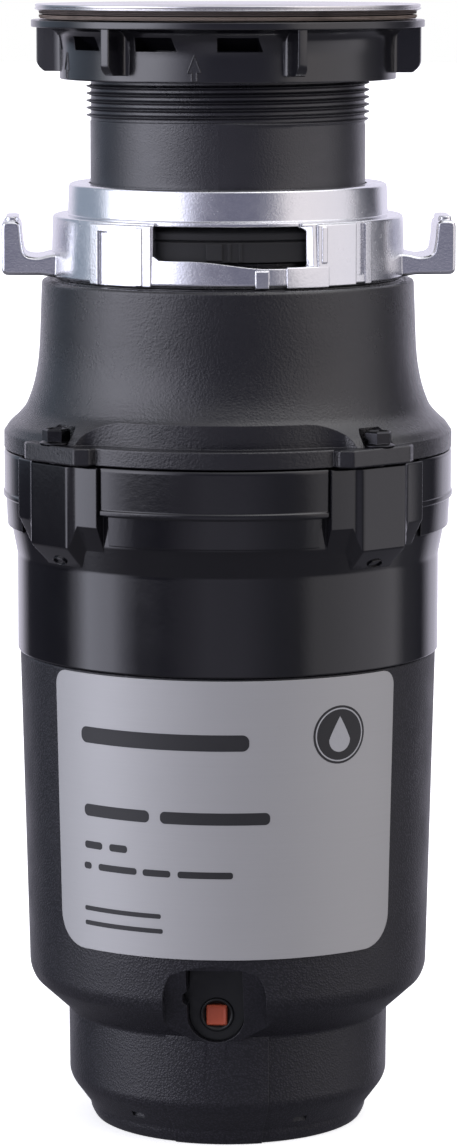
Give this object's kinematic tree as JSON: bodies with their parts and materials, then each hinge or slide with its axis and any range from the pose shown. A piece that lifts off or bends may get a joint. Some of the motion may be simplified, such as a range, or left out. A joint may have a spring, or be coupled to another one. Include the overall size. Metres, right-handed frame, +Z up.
{
  "type": "kitchen garbage disposal",
  "caption": "Compact under-sink food waste disposer: threaded sink flange, wing nut, hooked mounting ring, bolted hopper, motor, drain elbow.",
  "frame": {"origin": "on the machine's axis, in the plane of its base", "axes": "+Z up along the axis towards the sink flange, -Y towards the label and the reset button, drain elbow at +Y"},
  "size_m": [0.1362, 0.1895, 0.3356],
  "materials": {
    "stainless": "bright brushed stainless",
    "satin_black_plastic": "satin moulded",
    "black_rubber": "matte",
    "fibre": "pressed fibre",
    "cast_aluminium": "fine die-cast",
    "gloss_black_plastic": "polished",
    "textured_black_plastic": "fine leather grain",
    "zinc_steel": "zinc plated",
    "black_steel": "black phosphate",
    "motor_steel": "bare electrical steel",
    "copper": "enamelled copper",
    "ferrite": "matte ceramic magnet",
    "dark_plastic": "moulded phenolic",
    "green_screw": "green plated",
    "circuit_board": "solder mask",
    "label_foil": "satin printed foil",
    "red_plastic": "satin moulded"
  },
  "bodies": {
    "housing": {"sink_flange": "stainless", "sink_flange_throat": "satin_black_plastic", "hopper": "satin_black_plastic", "inlet_plug": "satin_black_plastic", "drain_elbow": "satin_black_plastic", "rim_gasket": "black_rubber", "cushion_mount": "black_rubber", "drain_gasket": "black_rubber", "shaft_seal": "black_rubber", "lower_end_bell": "cast_aluminium", "motor_housing": "gloss_black_plastic", "lower_shell": "textured_black_plastic", "grind_ring": "zinc_steel", "clamp_nut_1": "zinc_steel", "clamp_nut_2": "zinc_steel", "clamp_nut_3": "zinc_steel", "clamp_nut_4": "zinc_steel", "drain_plate": "zinc_steel", "drain_screw_1": "zinc_steel", "drain_screw_2": "zinc_steel", "upper_bearing": "zinc_steel", "lower_bearing": "zinc_steel", "motor_screw_1": "zinc_steel", "motor_screw_2": "zinc_steel", "cover_screw": "zinc_steel", "brush_spring_1": "zinc_steel", "brush_spring_2": "zinc_steel", "wiring_cover": "black_steel", "clamp_bolt_1": "black_steel", "clamp_bolt_2": "black_steel", "clamp_bolt_3": "black_steel", "clamp_bolt_4": "black_steel", "flux_ring": "motor_steel", "magnet_1": "ferrite", "magnet_2": "ferrite", "brush_holder_1": "dark_plastic", "brush_holder_2": "dark_plastic", "overload_switch": "dark_plastic", "brush_1": "dark_plastic", "brush_2": "dark_plastic", "ground_screw": "green_screw", "rectifier_board": "circuit_board", "label": "label_foil"},
    "clamp_ring": {"fibre_gasket": "fibre"},
    "nut": {"mounting_nut": "satin_black_plastic"},
    "ring": {"mounting_ring": "cast_aluminium"},
    "guard": {"splash_guard": "black_rubber"},
    "rotor": {"rotor_shaft": "zinc_steel", "turntable": "stainless", "turntable_nut": "stainless", "impeller_pin_1": "stainless", "impeller_pin_2": "stainless", "armature_core": "motor_steel", "winding_upper": "copper", "winding_lower": "copper", "commutator": "copper", "water_slinger": "black_rubber"},
    "impeller_left": {"impeller_1": "stainless"},
    "impeller_right": {"impeller_2": "stainless"},
    "button": {"reset_button": "red_plastic"}
  },
  "joints": [
    {"name": "nut_travel", "type": "slide", "parent": "housing", "child": "clamp_ring", "axis": [0, 0, -1], "range_m": [0, 0.012]},
    {"name": "nut_turn", "type": "hinge", "parent": "clamp_ring", "child": "nut", "pos_m": [0, 0, 0.322], "axis": [0, 0, 1], "range_deg": [-2029, 0]},
    {"name": "ring_turn", "type": "hinge", "parent": "housing", "child": "ring", "pos_m": [0, 0, 0.268], "axis": [0, 0, 1], "range_deg": [-35, 0]},
    {"name": "guard_lift", "type": "slide", "parent": "housing", "child": "guard", "axis": [0, 0, 1], "range_m": [0, 0.04]},
    {"name": "rotor_spin", "type": "hinge", "parent": "housing", "child": "rotor", "pos_m": [0, 0, 0.2], "axis": [0, 0, 1], "continuous": true},
    {"name": "impeller_left_swivel", "type": "hinge", "parent": "rotor", "child": "impeller_left", "pos_m": [-0.034, 0, 0.212], "axis": [0, 0, 1], "continuous": true},
    {"name": "impeller_right_swivel", "type": "hinge", "parent": "rotor", "child": "impeller_right", "pos_m": [0.034, 0, 0.212], "axis": [0, 0, 1], "continuous": true},
    {"name": "reset_press", "type": "slide", "parent": "housing", "child": "button", "axis": [0, 1, 0], "range_m": [0, 0.002], "stiffness_N_per_m": 300, "springref_m": -0.001}
  ],
  "couplings": [
    {"joint": "nut_turn", "follows": "nut_travel", "rad_per_m": -2949.9}
  ]
}
